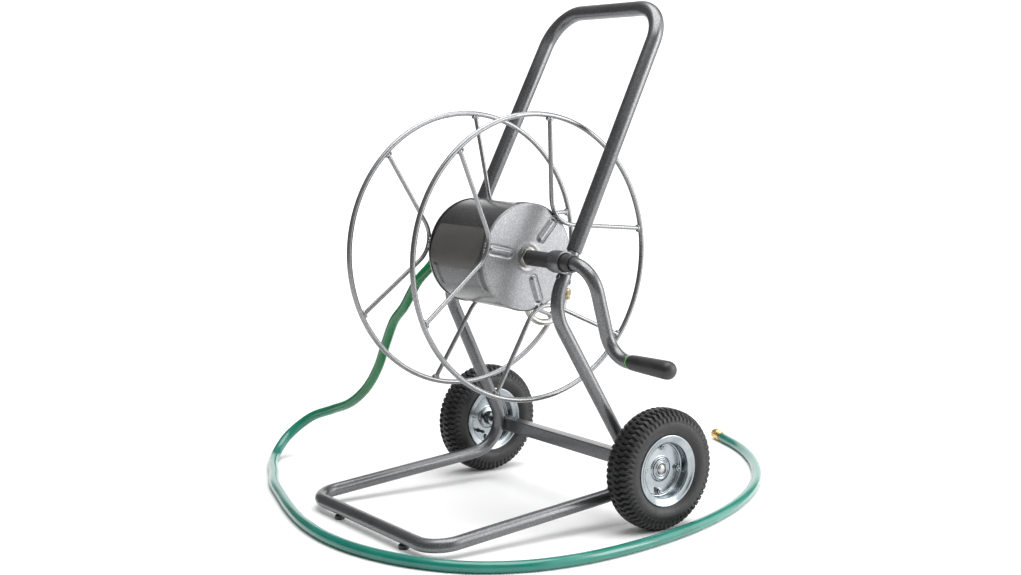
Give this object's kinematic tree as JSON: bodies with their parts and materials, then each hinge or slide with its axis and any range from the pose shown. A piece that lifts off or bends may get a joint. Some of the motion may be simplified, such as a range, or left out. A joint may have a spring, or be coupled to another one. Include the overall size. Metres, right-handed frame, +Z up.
{
  "type": "garden hose reel cart",
  "caption": "Tubular hose reel cart with a hand-cranked wire reel and drum, a tall push handle, pneumatic wheels, a base loop and a leader hose lying on the ground.",
  "frame": {"origin": "centre of the cart footprint at floor level, measured without the hose and its couplings", "axes": "+X towards the crank side, -Y towards the base loop at the front, +Y towards the wheels and push handle, +Z up"},
  "size_m": [1.0233, 1.1623, 0.9468],
  "materials": {
    "frame_paint": "dark grey hammertone powder coat",
    "reel_paint": "grey hammertone powder coat",
    "plated_steel": "zinc-plated steel",
    "black_plastic": "black moulded plastic",
    "grip_black": "soft black grip",
    "grip_green": "green plastic ring",
    "brass": "machined brass",
    "hose": "glossy green vinyl",
    "tyre": "black lugged rubber",
    "rim_zinc": "bright zinc-plated pressed steel",
    "valve_rubber": "black rubber"
  },
  "bodies": {
    "frame": {"upper_handle": "frame_paint", "hub_bracket_right": "frame_paint", "hub_bracket_left": "frame_paint", "joint_bolt_right": "plated_steel", "joint_bolt_left": "plated_steel", "lower_frame": "frame_paint", "axle_cross_tube": "frame_paint", "wheel_axle": "plated_steel", "front_foot_right": "black_plastic", "front_foot_left": "black_plastic", "bearing_bush_right": "black_plastic", "bearing_bush_left": "black_plastic", "axle_cap_right": "plated_steel", "axle_cap_left": "plated_steel", "inlet_elbow": "brass", "inlet_coupling": "brass", "hose": "hose", "hose_ferrule": "brass", "hose_end_fitting": "brass"},
    "reel": {"ring_right": "reel_paint", "ring_left": "reel_paint", "spoke_right_a": "reel_paint", "spoke_right_b": "reel_paint", "spoke_right_c": "reel_paint", "spoke_left_a": "reel_paint", "spoke_left_b": "reel_paint", "spoke_left_c": "reel_paint", "drum_shell": "reel_paint", "drum_disc_right": "reel_paint", "drum_disc_left": "reel_paint", "hub_washer_right": "plated_steel", "hub_washer_left": "plated_steel", "shaft_sleeve_right": "black_plastic", "shaft_sleeve_left": "black_plastic", "reel_shaft": "frame_paint", "gooseneck_tube": "plated_steel", "outlet_fitting": "brass", "crank_arm": "frame_paint"},
    "grip": {"grip_ring": "grip_green", "grip": "grip_black"},
    "wheel_right": {"tyre_right": "tyre", "rim_outer_right": "rim_zinc", "rim_inner_right": "rim_zinc", "rim_bolt_right_1": "rim_zinc", "rim_bolt_right_2": "rim_zinc", "rim_bolt_right_3": "rim_zinc", "rim_bolt_right_4": "rim_zinc", "wheel_hub_right": "rim_zinc", "valve_stem_right": "valve_rubber"},
    "wheel_left": {"tyre_left": "tyre", "rim_outer_left": "rim_zinc", "rim_inner_left": "rim_zinc", "rim_bolt_left_1": "rim_zinc", "rim_bolt_left_2": "rim_zinc", "rim_bolt_left_3": "rim_zinc", "rim_bolt_left_4": "rim_zinc", "wheel_hub_left": "rim_zinc", "valve_stem_left": "valve_rubber"}
  },
  "joints": [
    {"name": "reel_spin", "type": "hinge", "parent": "frame", "child": "reel", "pos_m": [-0.0685, 0.0051, 0.481], "axis": [1, 0, 0], "continuous": true},
    {"name": "grip_spin", "type": "hinge", "parent": "reel", "child": "grip", "pos_m": [0.2451, 0.0441, 0.3225], "axis": [1, 0, 0], "continuous": true},
    {"name": "wheel_right_roll", "type": "hinge", "parent": "frame", "child": "wheel_right", "pos_m": [0.1961, 0.1723, 0.11], "axis": [1, 0, 0], "continuous": true},
    {"name": "wheel_left_roll", "type": "hinge", "parent": "frame", "child": "wheel_left", "pos_m": [-0.3331, 0.1723, 0.11], "axis": [1, 0, 0], "continuous": true}
  ]
}
